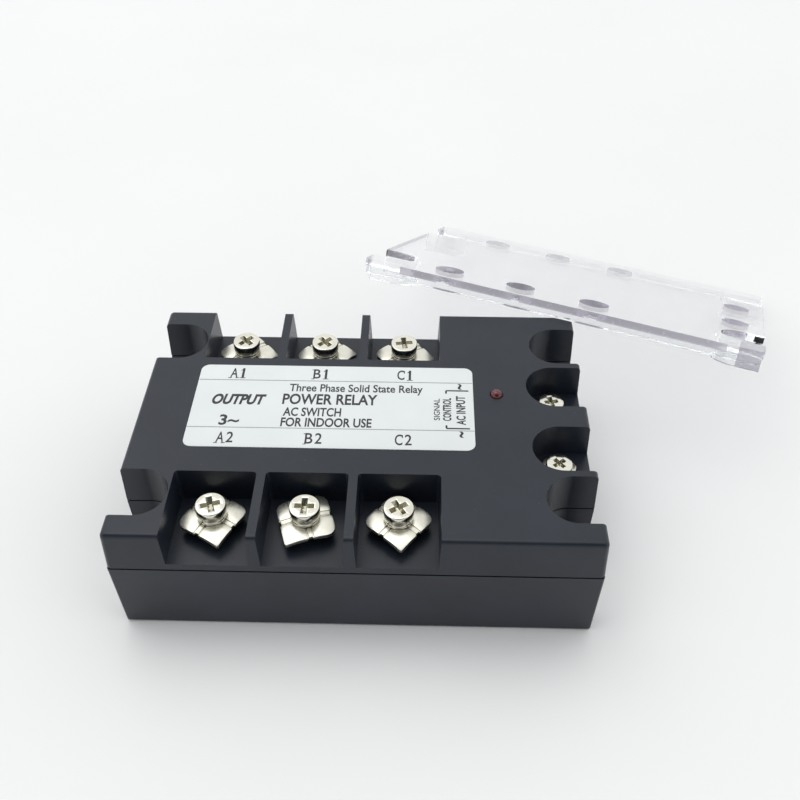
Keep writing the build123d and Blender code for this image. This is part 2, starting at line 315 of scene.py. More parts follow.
def clearPlastic(name, dark, light, clear, roughness):
    material, tree, base = newMaterial(name, IOR=clearPaint["index"])
    base.inputs["Transmission Weight"].default_value = clear
    base.inputs["Coat Weight"].default_value = clearPaint["gloss"]
    base.inputs["Coat Roughness"].default_value = 0.03
    base.inputs["Coat IOR"].default_value = 1.5
    where = objectPlace(tree)
    cloud = noise(tree, where, 25.0)
    tree.links.new(ramp(tree, cloud, [(0.3, dark), (0.7, light)]), base.inputs["Base Color"])
    fine = noise(tree, where, 700.0)
    tree.links.new(spread(tree, fine, *roughness), base.inputs["Roughness"])
    return material


def redLamp():
    material, tree, base = newMaterial("redLamp", IOR=1.5)
    base.inputs["Transmission Weight"].default_value = 0.25
    base.inputs["Coat Weight"].default_value = 0.5
    where = objectPlace(tree)
    cloud = noise(tree, where, 500.0)
    tint = ramp(tree, cloud, [(0.3, (0.09, 0.002, 0.005)), (0.7, (0.17, 0.003, 0.007))])
    tree.links.new(tint, base.inputs["Base Color"])
    tree.links.new(spread(tree, cloud, 0.12, 0.22), base.inputs["Roughness"])
    return material


materials = {
    "case": casePlastic(),
    "nickelPlate": metal("nickelPlate", (0.66, 0.645, 0.555), (0.78, 0.76, 0.67), (0.27, 0.36), 2200.0, 0.06),
    "nickel": metal("nickelSteel", (0.66, 0.64, 0.56), (0.76, 0.74, 0.66), (0.12, 0.22), 1500.0, 0.15),
    "nickelHead": metal("nickelHead", (0.70, 0.68, 0.58), (0.79, 0.77, 0.68), (0.10, 0.18), 2600.0, 0.18),
    # the recess metal is a painted shade: darker metal standing in for the shadow inside the cross recess
    "recess": metal("nickelRecessShade", (0.34, 0.33, 0.25), (0.55, 0.53, 0.43), (0.16, 0.32), 1800.0),
    "brass": metal("nickelBrass", (0.55, 0.50, 0.36), (0.64, 0.60, 0.46), (0.22, 0.34), 1200.0),
    "zinc": metal("zincSteel", (0.52, 0.54, 0.57), (0.62, 0.64, 0.66), (0.25, 0.38), 1200.0),
    "aluminium": metal(
        "baseAluminium", (0.60, 0.61, 0.62), (0.72, 0.73, 0.74), (0.28, 0.44), 900.0, 0.3, (0.08, 1, 1),
    ),
    "copper": metal("copper", (0.60, 0.28, 0.17), (0.74, 0.38, 0.25), (0.25, 0.4), 800.0),
    "tin": metal("tinnedWire", (0.60, 0.61, 0.62), (0.7, 0.71, 0.72), (0.2, 0.35), 1500.0),
    "paper": paper(),
    "ink": mottled("labelInk", (0.012, 0.012, 0.014), (0.03, 0.03, 0.034), (0.4, 0.55), 900.0, 3000.0),
    "inkLine": mottled("labelLine", (0.22, 0.23, 0.24), (0.30, 0.31, 0.32), (0.4, 0.55), 900.0, 3000.0),
    "lamp": redLamp(),
    "clear": clearPlastic("clearPlastic", clearPaint["dark"], clearPaint["light"], 1.0, (0.0, 0.04)),
    "clearEdgeShade": clearPlastic(
        "clearEdgeShade", clearPaint["edgeDark"], clearPaint["edgeLight"], clearPaint["edgeClear"], (0.18, 0.30),
    ),
    "clearRimShade": clearPlastic(
        "clearRimShade", clearPaint["rimDark"], clearPaint["rimLight"], clearPaint["rimClear"], (0.12, 0.22),
    ),
    "ceramic": mottled("ceramic", (0.74, 0.72, 0.67), (0.83, 0.81, 0.77), (0.4, 0.55), 300.0, 2000.0),
    "board": mottled("boardLaminate", (0.010, 0.075, 0.03), (0.018, 0.11, 0.045), (0.25, 0.4), 200.0, 2500.0),
    "epoxy": mottled(
        "chipMoulding", (0.012, 0.012, 0.014), (0.022, 0.022, 0.025), (0.45, 0.6), 400.0, 3500.0,
    ),
    "lacquer": mottled("resistorBody", (0.38, 0.27, 0.13), (0.47, 0.35, 0.19), (0.3, 0.45), 400.0, 2500.0),
    "redBox": mottled("capacitorBox", (0.27, 0.016, 0.012), (0.36, 0.025, 0.018), (0.3, 0.45), 300.0, 2500.0),
    "blueDip": mottled("varistorCoat", (0.010, 0.05, 0.20), (0.018, 0.08, 0.30), (0.28, 0.42), 300.0, 2000.0),
    "sleeve": mottled(
        "capacitorSleeve", (0.008, 0.012, 0.05), (0.015, 0.02, 0.08), (0.18, 0.3), 300.0, 2000.0,
    ),
    "potting": mottled("potting", (0.03, 0.03, 0.034), (0.05, 0.05, 0.055), (0.3, 0.5), 120.0, 900.0, 0.1),
}
print("materials made")

innerFinish = {
    "base_plate": "aluminium", "case_screws": "zinc", "control_board": "board",
    "ceramic_insulators": "ceramic", "gate_leads": "tin", "optocouplers": "epoxy",
    "gate_resistors": "lacquer", "snubber_resistors": "lacquer", "snubber_capacitors": "redBox",
    "varistors": "blueDip", "bridge_rectifier": "epoxy", "input_capacitor": "sleeve", "led_leads": "tin",
    "thyristor_module_a": "copper", "thyristor_module_b": "copper", "thyristor_module_c": "copper",
    "potting_compound": "potting",
}


def dressInner():
    finishes = dict(innerFinish)
    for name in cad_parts:
        if name.startswith(("power_terminal", "control_terminal")):
            finishes[name] = "brass"
    for name, finish in finishes.items():
        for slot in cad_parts[name].material_slots:
            slot.material = materials[finish]


dressInner()
print("inner parts dressed")

housing = {
    "length": 105.0, "width": 75.0, "top": 30.5, "seam": 20.0, "foot": 0.3,
    "upperDraft": 0.44, "lowerDraft": 0.41, "corner": 1.1, "lowerCorner": 0.6, "topRound": 1.0,
    "seamGroove": 0.12, "lipHeight": 0.34, "lipInset": 0.5, "footRound": 0.3, "edge": 0.28, "lowerEdge": 0.13,
    "wall": 2.0, "thinWall": 1.5, "roof": 2.0, "pocketGap": 0.6,
    "floor": 21.8, "bayWidth": 18.0, "bayInner": 18.75, "bayDraft": 0.36, "bayCorner": 0.9,
    "notchX": 46.7, "notchY": 25.0, "notchRadius": 6.5, "wellX": 45.1, "wellY": 10.1, "wellRadius": 6.75,
    "bushClear": 0.08, "bushHollow": 5.0, "lampHole": 1.6,
}
phases = {"a": -31.0, "b": -11.0, "c": 9.0}
rows = {"1": 1, "2": -1}
corners = [(x, y) for x in (-1, 1) for y in (-1, 1)]


def taperedBox(length, width, low, high, inset, corner, topRound=0.0, bottomRound=0.0):
    # inset narrows the top, or the foot where it is negative
    bm = box(length, width, high - low, z=low)
    middle = (low + high) / 2 * mm
    for vert in bm.verts:
        if (inset > 0) == (vert.co.z > middle):
            vert.co.x -= math.copysign(abs(inset) * mm, vert.co.x)
            vert.co.y -= math.copysign(abs(inset) * mm, vert.co.y)
    bevelEdges(bm, uprightEdges(bm), corner, 8)
    if topRound:
        bevelEdges(bm, flatEdges(bm, high), topRound, 6)
    if bottomRound:
        bevelEdges(bm, flatEdges(bm, low), bottomRound, 2)
    return bm


def bayCutter(x, side):
    # a block that flares upwards, out past the roof and the long side
    h = housing
    depth, height = 30.0, 12.0
    middle = side * (h["bayInner"] + 0.4 + depth / 2)
    bm = box(h["bayWidth"] - 2 * h["bayDraft"], depth, height, x, middle, h["floor"])
    flare = h["bayDraft"] * height / (h["top"] - h["floor"])
    for vert in bm.verts:
        if vert.co.z > (h["floor"] + height / 2) * mm:
            vert.co.x += math.copysign(flare * mm, vert.co.x - x * mm)
            if vert.co.y * side < middle * side * mm:
                vert.co.y -= side * flare * mm
    inner = [e for e in uprightEdges(bm) if e.verts[0].co.y * side < middle * side * mm]
    bevelEdges(bm, inner, h["bayCorner"], 5)
    return bm


def uCutter(x, y, radius, low, high, side):
    # a round-ended slot that opens through the end of the case, and its square half
    post = roundPost(radius, high - low, x, y, low, 72)
    slab = box(20.0, 2 * radius, high - low, x + side * 10.0, y, low)
    return [post, slab]


def notchCutters(radius, low, high):
    cutters = []
    for sideX, sideY in corners:
        cutters += uCutter(sideX * housing["notchX"], sideY * housing["notchY"], radius, low, high, sideX)
    return cutters


def buildUpperCase():
    h = housing
    bm = taperedBox(
        h["length"], h["width"], h["seam"], h["top"], h["upperDraft"], h["corner"],
        topRound=h["topRound"], bottomRound=h["seamGroove"],
    )
    closeUp(bm)
    piece = meshFrom(bm, "upperCase")
    cutters = [bayCutter(x, side) for x in phases.values() for side in rows.values()]
    cutters += notchCutters(h["notchRadius"], h["seam"] - 1, h["top"] + 1)
    for side in rows.values():
        cutters += uCutter(h["wellX"], side * h["wellY"], h["wellRadius"], h["floor"], h["top"] + 1, 1)
    cutWith(piece, cutters)
    softenEdges(piece, h["edge"], 3)
    # the hollow under the roof, with the pockets beside the bays
    left = -h["length"] / 2 + h["wall"]
    right = h["wellX"] - h["wellRadius"] - h["thinWall"]
    width = 2 * (h["notchY"] - h["notchRadius"] - h["thinWall"])
    depth = h["top"] - h["roof"] - h["seam"] + 1
    hollows = [box(right - left, width, depth, (left + right) / 2, 0, h["seam"] - 1)]
    pocketLeft = phases["c"] + h["bayWidth"] / 2 + h["wall"]
    pocketRight = h["notchX"] - h["notchRadius"] - h["thinWall"]
    pocketHigh = h["width"] / 2 - h["wall"] - h["pocketGap"]
    for side in rows.values():
        middle = side * (width / 2 + pocketHigh) / 2
        size = pocketHigh - width / 2 + 0.4
        between = (pocketLeft + pocketRight) / 2
        hollows.append(box(pocketRight - pocketLeft, size, depth, between, middle, h["seam"] - 1))
    for name in screwNames:
        bush = stacks[kindOf(name)]["bush"] + h["bushClear"]
        middle = nodeMiddle("screw_" + name)
        hollows.append(roundPost(bush, h["bushHollow"], middle.x, middle.y, h["seam"] - 1, 40))
    middle = nodeMiddle("status_led")
    under = h["top"] - h["roof"] - 1
    hollows.append(roundPost(h["lampHole"], h["roof"] + 2, middle.x, middle.y, under, 40))
    cutWith(piece, hollows)
    smoothFaces(piece, 30)
    evenShading(piece)
    return finishPiece(piece, materials["case"], "housing", ["upper_case"])


def buildLowerCase():
    h = housing
    shoulder = h["seam"] - h["lipHeight"]
    bm = taperedBox(h["length"], h["width"], h["foot"], shoulder, -h["lowerDraft"], h["lowerCorner"])
    # a lip stepped in under the upper case leaves the dark line of the joint
    top = [f for f in bm.faces if f.normal.z > 0.9]
    bmesh.ops.inset_region(bm, faces=top, thickness=h["lipInset"] * mm, depth=0.0)
    lip = bmesh.ops.extrude_face_region(bm, geom=top)
    raised = [v for v in lip["geom"] if isinstance(v, bmesh.types.BMVert)]
    bmesh.ops.translate(bm, verts=raised, vec=(0, 0, h["lipHeight"] * mm))
    bmesh.ops.delete(bm, geom=top, context="FACES_ONLY")
    bevelEdges(bm, flatEdges(bm, h["foot"]), h["footRound"], 2)
    closeUp(bm)
    piece = meshFrom(bm, "lowerCase")
    shrink = 2 * h["lowerDraft"] + 2 * h["wall"]
    inside = box(h["length"] - shrink, h["width"] - shrink, h["seam"] - h["foot"] + 4, z=h["foot"] - 2)
    cutters = notchCutters(h["notchRadius"], h["foot"] - 1, h["seam"] + 1)
    cutWith(piece, cutters + notchCutters(h["notchRadius"] + h["lipInset"], shoulder, h["seam"] + 1))
    softenEdges(piece, h["lowerEdge"], 2)
    # the notch walls stay, so the middle is cleared round them
    walls = []
    outer = h["notchRadius"] + h["thinWall"]
    for sideX, sideY in corners:
        walls += uCutter(sideX * h["notchX"], sideY * h["notchY"], outer, h["foot"] - 3, h["seam"] + 3, sideX)
    hollow = meshFrom(inside, "hollow")
    cutWith(hollow, walls)
    combine(piece, [hollow], "DIFFERENCE")
    smoothFaces(piece, 30)
    evenShading(piece)
    return finishPiece(piece, materials["case"], "housing", ["lower_case"])


stacks = {
    "power": {
        "plateTop": 25.6, "washerTop": 26.6, "headTop": 29.2, "bush": 2.95,
        "head": 3.3, "shank": 2.0, "length": 12.0, "pitch": 0.7, "cross": 4.3, "crossWidth": 1.35,
        "crossInner": 0.62, "washer": 3.15, "plate": 11.3, "thickness": 0.9, "flat": 2.6, "drop": 0.85,
    },
    "control": {
        "plateTop": 22.9, "washerTop": 23.6, "headTop": 25.6, "bush": 2.45,
        "head": 3.0, "shank": 1.5, "length": 6.5, "pitch": 0.5, "cross": 3.4, "crossWidth": 1.05,
        "crossInner": 0.5, "washer": 2.8, "plate": 7.6, "thickness": 0.7, "flat": 2.2, "drop": 0.3,
    },
}
screwTurn = {"a1": 45, "b1": 42, "c1": 8, "a2": 18, "b2": 0, "c2": 32, "in1": 10, "in2": 38}
plateTurn = {"a1": 42, "b1": 50, "c1": 38, "a2": -29, "b2": -72.5, "c2": -40, "in1": 20, "in2": -15}
screwNames = list(screwTurn)


def kindOf(name):
    return "control" if name.startswith("in") else "power"


def spinProfile(points, segments=72):
    # a closed profile of (radius, height) turned about Z
    bm = bmesh.new()
    verts = [bm.verts.new((radius * mm, 0.0, height * mm)) for radius, height in points]
    edges = [bm.edges.new(pair) for pair in zip(verts, verts[1:])]
    bmesh.ops.spin(
        bm, geom=verts + edges, axis=(0, 0, 1), cent=(0, 0, 0), angle=2 * math.pi, steps=segments,
        use_merge=True,
    )
    closeUp(bm)
    return bm


def arcPoints(centreX, centreZ, radius, start, end, steps=5):
    angles = [math.radians(start + (end - start) * k / steps) for k in range(steps + 1)]
    return [(centreX + radius * math.cos(a), centreZ + radius * math.sin(a)) for a in angles]


def crossCutter(size, top):
    # a plus with flared lobes, tapering down to its floor
    depth = (top - size["washerTop"]) * 0.6
    reach, tip, inner = size["cross"] / 2, size["crossWidth"] / 2, size["crossInner"]
    bm = bmesh.new()
    verts = []
    for quarter in range(4):
        for x, y in ((reach, -tip), (reach, tip), (inner, inner)):
            verts.append(bm.verts.new(turned(90 * quarter) @ Vector((x * mm, y * mm, (top - depth) * mm))))
    floor = bm.faces.new(verts)
    raised = bmesh.ops.extrude_face_region(bm, geom=[floor])["geom"]
    raised = [v for v in raised if isinstance(v, bmesh.types.BMVert)]
    bmesh.ops.translate(bm, verts=raised, vec=(0, 0, (depth + 0.4) * mm))
    bmesh.ops.scale(bm, verts=verts, vec=(0.55, 0.55, 1.0))
    bmesh.ops.scale(bm, verts=raised, vec=(1.1, 1.1, 1.0))
    return [bm]


screwShape = {"threadDepth": 0.28, "neck": 1.2, "neckSlim": 0.1, "headFoot": 0.25, "headRound": 0.32}


def buildScrew(name):
    size, shape = stacks[kindOf(name)], screwShape
    head, shank, under, top = size["head"], size["shank"], size["washerTop"], size["headTop"]
    low = under - size["length"]
    neck, root = shank - shape["neckSlim"], shank - shape["threadDepth"]
    profile = [(0.0, low), (shank - 0.45, low), (neck, low + 0.4)]
    # the thread runs as rings, crest to root, up to a plain neck
    step = size["pitch"]
    z = low + 0.5
    while z + step < under - shape["neck"]:
        profile += [(shank, z), (shank, z + step * 0.2), (root, z + step * 0.5), (root, z + step * 0.62)]
        z += step
    foot, crown = shape["headFoot"], shape["headRound"]
    profile += [(neck, z), (neck, under), (head - foot, under)]
    profile += arcPoints(head - foot, under + foot, foot, -90, 0, 4)
    profile += arcPoints(head - crown, top - crown, crown, 8, 82, 6)
    profile += [(head * 0.55, top + 0.015), (0.0, top + 0.02)]
    piece = meshFrom(spinProfile(profile), "screw." + name)
    cutWith(piece, crossCutter(size, top))
    softenEdges(piece, 0.06, 2, 50.0)
    reach = size["cross"] * 0.6 * mm
    inRecessShade = [
        math.hypot(f.center.x, f.center.y) < reach and under * mm < f.center.z < (top - 0.05) * mm
        for f in piece.data.polygons
    ]
    middle = nodeMiddle("screw_" + name)
    piece.data.transform(place(middle.x, middle.y, 0) @ turned(screwTurn[name]))
    finishPiece(piece, materials["nickelHead"], "driver_" + name, ["screw_" + name])
    # the cross recess's faces take the painted shade
    piece.data.materials.append(materials["recess"])
    for face, dark in zip(piece.data.polygons, inRecessShade):
        face.material_index = 1 if dark else 0
    return smoothFaces(piece, 38)


washerShape = {"edge": 0.12, "play": 0.16, "fill": 0.86, "gap": 9.0, "turn": 162, "steps": 84}


def buildWasher(name):
    # a split ring of square wire, its ends sprung a little apart
    size, shape = stacks[kindOf(name)], washerShape
    low, high = size["plateTop"], size["washerTop"]
    inner, outer = size["shank"] + shape["play"], size["washer"]
    thickness = (high - low) * shape["fill"]
    edge, gap, steps = shape["edge"], shape["gap"], shape["steps"]
    section = [
        (inner + edge, 0.0), (outer - edge, 0.0), (outer, edge), (outer, thickness - edge),
        (outer - edge, thickness), (inner + edge, thickness), (inner, thickness - edge), (inner, edge),
    ]
    bm = bmesh.new()
    verts = [bm.verts.new((radius * mm, 0.0, (low + height) * mm)) for radius, height in section]
    face = bm.faces.new(verts)
    spring = (high - low - thickness) * mm
    bmesh.ops.spin(
        bm, geom=[face], axis=(0, 0, 1), cent=(0, 0, 0), dvec=(0, 0, spring / steps),
        angle=math.radians(360 - gap), steps=steps, use_merge=False,
    )
    bmesh.ops.holes_fill(bm, edges=[e for e in bm.edges if e.is_boundary], sides=0)
    closeUp(bm)
    piece = meshFrom(bm, "springWasher." + name)
    middle = nodeMiddle("spring_washer_" + name)
    piece.data.transform(place(middle.x, middle.y, 0) @ turned(shape["turn"] + gap / 2))
    smoothFaces(piece, 50)
    node = "spring_washer_" + name
    return finishPiece(piece, materials["nickel"], "clamp_" + name, [node])


plateShape = {
    "roundCorner": 2.3, "keenCorner": 0.5, "nickWidth": 1.0, "nickDepth": 0.32,
    "valley": 0.20, "valleyWidth": 1.3, "score": 0.26, "scoreAt": 0.56, "scoreWidth": 0.22,
}


def plateHeight(size, x, y, scored=True):
    # flat round the hole with drooping corners, and valleys to the edges' middles between score lines
    half, flat, shape = size["plate"] / 2, size["flat"], plateShape
    radius = math.hypot(x, y)
    across = max(0.0, (radius - flat) / (half * 1.3 - flat))
    height = -size["drop"] * across ** 1.9
    if radius > size["washer"] * 0.7:
        for offset in (abs(x), abs(y)):
            height -= shape["valley"] * math.exp(-((offset / shape["valleyWidth"]) ** 2)) if scored else 0.0
            if scored and abs(offset - shape["scoreAt"]) < shape["scoreWidth"] / 2 + 0.001:
                height -= shape["score"]
    return height


def buildPlate(name):
    size, shape = stacks[kindOf(name)], plateShape
    half = size["plate"] / 2
    ratio = size["plate"] / stacks["power"]["plate"]
    bm = bmesh.new()
    bmesh.ops.create_grid(bm, x_segments=1, y_segments=1, size=half * mm)
    # three corners are well rounded and one is keen
    for keen in (False, True):
        chosen = [
            v for v in bm.verts
            if abs(abs(v.co.x) - half * mm) < 1e-7 and abs(abs(v.co.y) - half * mm) < 1e-7
            and (v.co.x > 0 > v.co.y) == keen
        ]
        amount = shape["keenCorner"] if keen else shape["roundCorner"]
        bmesh.ops.bevel(
            bm, geom=chosen, offset=amount * ratio * mm, affect="VERTICES", segments=8, profile=0.5,
            material=-1,
        )
    score, cut = shape["scoreAt"], shape["scoreWidth"] / 2
    near = [0.0, 0.25, score - cut - 0.08, score - cut, score + cut, score + cut + 0.08, 1.0]
    rest = [half * k / 12 for k in range(1, 12)]
    values = near + [v for v in rest if v > 1.2]
    for value in [-v for v in values if v] + values:
        for axis in ((1, 0, 0), (0, 1, 0)):
            spot = Vector(axis) * value * mm
            everything = bm.verts[:] + bm.edges[:] + bm.faces[:]
            bmesh.ops.bisect_plane(bm, geom=everything, plane_co=spot, plane_no=axis, dist=1e-8)
    for vert in bm.verts:
        x, y = vert.co.x / mm, vert.co.y / mm
        if vert.is_boundary:
            # nicks in the middle of each edge
            for along, out in ((x, "y"), (y, "x")):
                value = getattr(vert.co, out)
                if abs(along) < shape["nickWidth"] / 2 and abs(value) > half * 0.98 * mm:
                    setattr(vert.co, out, value - math.copysign(shape["nickDepth"] * ratio * mm, value))
    upper = bm.verts[:]
    lower = bmesh.ops.extrude_face_region(bm, geom=bm.faces[:])["geom"]
    lower = [v for v in lower if isinstance(v, bmesh.types.BMVert)]
    under = size["plateTop"] - size["thickness"]
    for verts, base, scored in ((upper, size["plateTop"], True), (lower, under, False)):
        for vert in verts:
            vert.co.z = (base + plateHeight(size, vert.co.x / mm, vert.co.y / mm, scored)) * mm
    bmesh.ops.recalc_face_normals(bm, faces=bm.faces)
    piece = meshFrom(bm, "clampPlate." + name)
    cutWith(piece, [roundPost(size["shank"] + 0.1, 8.0, 0, 0, size["plateTop"] - 4, 40)])
    softenEdges(piece, 0.16, 3, 60.0)
    middle = nodeMiddle("clamp_plate_" + name)
    piece.data.transform(place(middle.x, middle.y, 0) @ turned(plateTurn[name]))
    smoothFaces(piece, 40)
    node = "clamp_plate_" + name
    return finishPiece(piece, materials["nickelPlate"], "clamp_" + name, [node])


buildUpperCase()
buildLowerCase()
print("housing built")
for name in screwNames:
    buildScrew(name)
    buildWasher(name)
    buildPlate(name)
print("terminal stacks built")


lamp = {"radius": 1.5, "shoulder": 30.2, "foot": 25.6, "rim": 1.9, "rimHeight": 1.0}


def buildLamp():
    middle = nodeMiddle("status_led")
    foot, rim, radius, shoulder = lamp["foot"], lamp["rim"], lamp["radius"], lamp["shoulder"]
    collar = foot + lamp["rimHeight"]
    profile = [(0.0, foot), (rim, foot), (rim, collar), (radius, collar)]
    profile += arcPoints(0.0, shoulder, radius, 0, 88, 12) + [(0.0, shoulder + radius)]
    piece = meshFrom(spinProfile(profile, 48), "statusLamp")
    piece.data.transform(place(middle.x, middle.y, 0))
    smoothFaces(piece, 40)
    return finishPiece(piece, materials["lamp"], "housing", ["status_led"])


label = {
    "corner": 2.0, "edge": 0.04, "ink": 0.02, "lineWidth": 0.2, "lineY": (10.6, -5.4),
    "letterSize": 3.4, "letterWidth": 1.75, "letterWeight": 0.05, "letterGap": 2.15, "serif": 0.2,
    "letterX": (-30.6, -10.6, 9.6), "letterY": {"1": 12.95, "2": -8.75},
}
# words, middle x and y, cap height, length, turn, slant, weight
labelWords = [
    ("Three Phase Solid State Relay", -2.0, 8.05, 2.6, 31.6, 0, 0.0, 0.06),
    ("OUTPUT", -29.2, 3.7, 3.3, 12.6, 0, 0.25, 0.19),
    ("POWER RELAY", -7.9, 4.05, 3.5, 22.2, 0, 0.0, 0.11),
    ("AC SWITCH", -11.7, -0.2, 2.8, 13.4, 0, 0.0, 0.08),
    ("FOR INDOOR USE", -8.2, -3.6, 2.85, 20.8, 0, 0.0, 0.09),
    ("3~", -30.5, -3.2, 3.3, 4.6, 0, 0.0, 0.12),
    ("SIGNAL", 17.2, 1.5, 1.4, 7.2, 90, 0.0, 0.02),
    ("CONTROL", 19.6, 1.55, 1.9, 7.6, 90, 0.0, 0.07),
    ("AC INPUT", 22.8, 1.3, 2.1, 9.6, 90, 0.0, 0.07),
    ("~", 22.4, 9.3, 3.6, 1.9, 90, 0.0, 0.10),
    ("~", 22.5, -6.6, 3.6, 1.9, 90, 0.0, 0.10),
]
# a bracket round the control words, by its two ends' heights
bracket = {"x": 19.3, "right": 24.6, "top": 7.9, "bottom": -4.7, "hook": 1.0, "width": 0.42}


def buildLabel():
    low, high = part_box("rating_label")
    length, width = (high.x - low.x) / mm, (high.y - low.y) / mm
    x, y = (low.x + high.x) / 2 / mm, (low.y + high.y) / 2 / mm
    bm = box(length, width, (high.z - low.z) / mm, x, y, low.z / mm)
    bevelEdges(bm, uprightEdges(bm), label["corner"], 10)
    bevelEdges(bm, flatEdges(bm, high.z / mm), label["edge"], 2)
    closeUp(bm)
    piece = meshFrom(bm, "ratingLabel")
    smoothFaces(piece, 40)
    return finishPiece(piece, materials["paper"], "housing", ["rating_label"])


def addWords(bm, words, x, y, height, length, turn=0.0, slant=0.0, weight=0.0):
    # type set at a cap height and stretched to a length
    curve = bpy.data.curves.new("words", "FONT")
    curve.body = words
    curve.size = height * 1.38 * mm
    curve.align_y = "CENTER"
    curve.offset = weight * mm
    curve.shear = slant
    curve.extrude = label["ink"] / 2 * mm
    curve.resolution_u = 4
    holder = bpy.data.objects.new("wordsHolder", curve)
    bpy.context.scene.collection.objects.link(holder)
    bpy.context.view_layer.update()
    mesh = bpy.data.meshes.new_from_object(holder.evaluated_get(bpy.context.evaluated_depsgraph_get()))
    bpy.data.objects.remove(holder)
    across = [v.co.x for v in mesh.vertices]
    low, high = min(across), max(across)
    # no length leaves the words at their own width
    ratio = length * mm / (high - low) if length else 1.0
    stretch = Matrix.Diagonal((ratio, 1, 1, 1)) @ Matrix.Translation((-(low + high) / 2, 0, 0))
    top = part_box("rating_label")[1].z / mm
    mesh.transform(place(x, y, top + label["ink"] / 2) @ turned(turn) @ stretch)
    bm.from_mesh(mesh)
    bpy.data.meshes.remove(mesh)


def addLine(bm, x1, y1, x2, y2, width):
    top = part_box("rating_label")[1].z / mm
    turn = math.degrees(math.atan2(y2 - y1, x2 - x1))
    bmesh.ops.create_cube(
        bm, size=1.0,
        matrix=place((x1 + x2) / 2, (y1 + y2) / 2, top + label["ink"] / 2) @ turned(turn)
        @ sizes(math.hypot(x2 - x1, y2 - y1), width, label["ink"]),
    )


def addSerifs(bm, letter, x, y):
    # short feet and ticks that turn the plain letters into a book face
    half, rise, width = label["letterWidth"] / 2, label["letterSize"] / 2, label["serif"]
    low, high = y - rise + width / 2, y + rise - width / 2
    if letter == "A":
        for side in (-1, 1):
            addLine(bm, x + side * half - 0.42, low, x + side * half + 0.42, low, width)
    elif letter == "B":
        for height in (low, high):
            addLine(bm, x - half - 0.4, height, x - half + 0.3, height, width)
    elif letter == "C":
        addLine(bm, x + half - 0.05, high + width / 2, x + half - 0.05, high - 0.85, width)
    elif letter == "1":
        addLine(bm, x - 0.7, low, x + 0.7, low, width)
        addLine(bm, x - 0.6, high - 0.55, x, high - 0.1, width)


def buildPrint():
    low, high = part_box("rating_label")
    bm = bmesh.new()
    for words in labelWords:
        addWords(bm, *words)
    for row, y in label["letterY"].items():
        for letter, x in zip("ABC", label["letterX"]):
            for sign, offset in ((letter, -0.5), (row, 0.5)):
                width = {"1": None, "2": label["letterWidth"] * 0.9}.get(sign, label["letterWidth"])
                middle = x + offset * label["letterGap"]
                addWords(bm, sign, middle, y, label["letterSize"], width, weight=label["letterWeight"])
                addSerifs(bm, sign, middle, y)
    for side in ("top", "bottom"):
        y, hook = bracket[side], bracket["hook"] * (-1 if side == "top" else 1)
        addLine(bm, bracket["x"], y, bracket["right"], y, bracket["width"])
        addLine(bm, bracket["x"], y, bracket["x"], y + hook, bracket["width"])
    piece = meshFrom(bm, "labelPrint")
    finishPiece(piece, materials["ink"], "housing", ())
    bm = bmesh.new()
    for y in label["lineY"]:
        addLine(bm, low.x / mm + 0.1, y, high.x / mm - 0.1, y, label["lineWidth"])
    lines = meshFrom(bm, "labelLines")
    finishPiece(lines, materials["inkLine"], "housing", ())


buildLamp()
buildLabel()
buildPrint()
print("lamp and label built")

guard = {
    "place": (58.56, 68.66, 19.5), "turn": -20.2, "roll": 0.4, "tilt": -24.6,
    "length": 105.0, "width": 75.0, "thickness": 2.1, "corner": 2.0, "edge": 0.18,
    "flange": 2.0, "flangeDepth": 3.7, "skirtDepth": 6.6, "skirtOuter": 6.35, "skirtInner": 5.2,
    "hole": 3.9, "holeY": 27.4, "controlHole": 3.6,
    # the bands of the front edge, and the height below which it stays clear, where painted grey shade lies
    "edgeShadeBands": ((-42.0, -31.5), (-28.0, -11.0), (-8.8, 8.3), (11.5, 43.6)), "edgeShadeLow": -1.95,
}


def partFront(bm, spot, direction):
    # a cut line across the front edge only
    limit = (0.4 - guard["width"] / 2) * mm
    front = [f for f in bm.faces if f.normal.y < -0.2 and f.calc_center_median().y < limit]
    edges = {e for f in front for e in f.edges}
    verts = {v for f in front for v in f.verts}
    bmesh.ops.bisect_plane(
        bm, geom=list(verts) + list(edges) + front, plane_co=Vector(spot) * mm, plane_no=direction,
        dist=1e-8,
    )


def near(middle, x, y, radius):
    return math.hypot(middle.x - x, middle.y - y) < radius + 0.15


def wallPaintedShade(middle, normal):
    # 1 for the cut walls in front and at the left end, which carry painted grey shade, 2 for the fainter
    # painted shade on the ones behind, 0 for clear
    g, h = guard, housing
    if middle.z < -g["thickness"] + 0.1:
        return 0
    if normal.y < -0.2 and middle.y < 0.4 - g["width"] / 2:
        inBand = any(low < middle.x < high for low, high in g["edgeShadeBands"])
        return 1 if inBand and middle.z > g["edgeShadeLow"] else 0
    if abs(normal.z) > 0.3:
        return 0
    if normal.x < -0.9 and middle.x < 1 - g["length"] / 2:
        return 1
    controlX = nodeMiddle("screw_in1").x
    for side in (-1, 1):
        spots = [(x, side * g["holeY"], g["hole"], side < 0) for x in phases.values()]
        spots += [(controlX, side * h["wellY"], g["controlHole"], True)]
        for end in (-1, 1):
            # a notch runs straight out past its round end
            x = max(h["notchX"], end * middle.x) * end
            spots += [(x, side * h["notchY"], g["skirtInner"], end < 0 or side < 0)]
        for x, y, radius, grey in spots:
            if near(middle, x, y, radius):
                return 1 if grey else 2
    return 0


